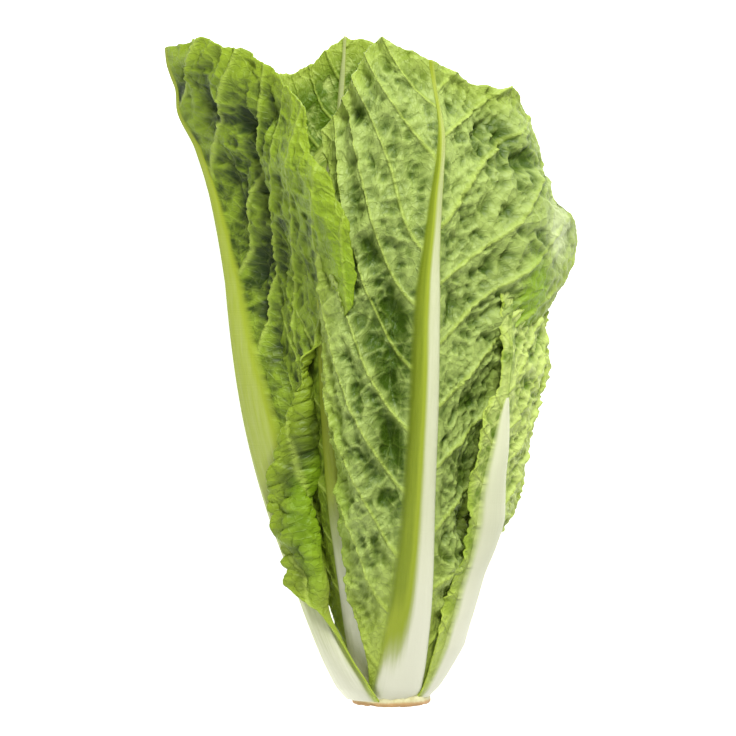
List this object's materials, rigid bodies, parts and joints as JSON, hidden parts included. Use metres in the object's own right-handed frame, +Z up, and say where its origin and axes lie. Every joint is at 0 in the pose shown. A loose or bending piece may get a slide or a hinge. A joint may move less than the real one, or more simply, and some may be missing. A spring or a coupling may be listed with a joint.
{
  "type": "romaine lettuce head",
  "caption": "Whole romaine lettuce head lying on its side, with long ribbed leaves wrapped in layers round a short cut stem.",
  "frame": {"origin": "on the surface the head lies on, under the middle of its bounding box", "axes": "+Z up from the surface, +Y along the head from the cut stem to the leaf tips, +X to the right when the head is seen from above with its tips away from the viewer"},
  "size_m": [0.1846, 0.31, 0.1174],
  "materials": {
    "outer_leaf": "satin",
    "middle_leaf": "satin",
    "heart_leaf": "satin",
    "stem": "matte"
  },
  "bodies": {
    "root": {"cut_stem": "stem", "outer_leaf_left": "outer_leaf", "outer_leaf_right": "outer_leaf", "outer_leaf_front": "outer_leaf", "outer_leaf_back_right": "outer_leaf", "outer_leaf_back": "outer_leaf", "outer_leaf_front_left": "outer_leaf", "middle_leaf_1": "middle_leaf", "middle_leaf_2": "middle_leaf", "middle_leaf_3": "middle_leaf", "middle_leaf_4": "middle_leaf", "middle_leaf_5": "middle_leaf", "middle_leaf_6": "middle_leaf", "middle_leaf_7": "middle_leaf", "heart_leaf_1": "heart_leaf", "heart_leaf_2": "heart_leaf", "heart_leaf_3": "heart_leaf", "heart_leaf_4": "heart_leaf", "heart_leaf_5": "heart_leaf", "heart_leaf_6": "heart_leaf", "heart_leaf_7": "heart_leaf", "heart_leaf_8": "heart_leaf"}
  },
  "joints": []
}
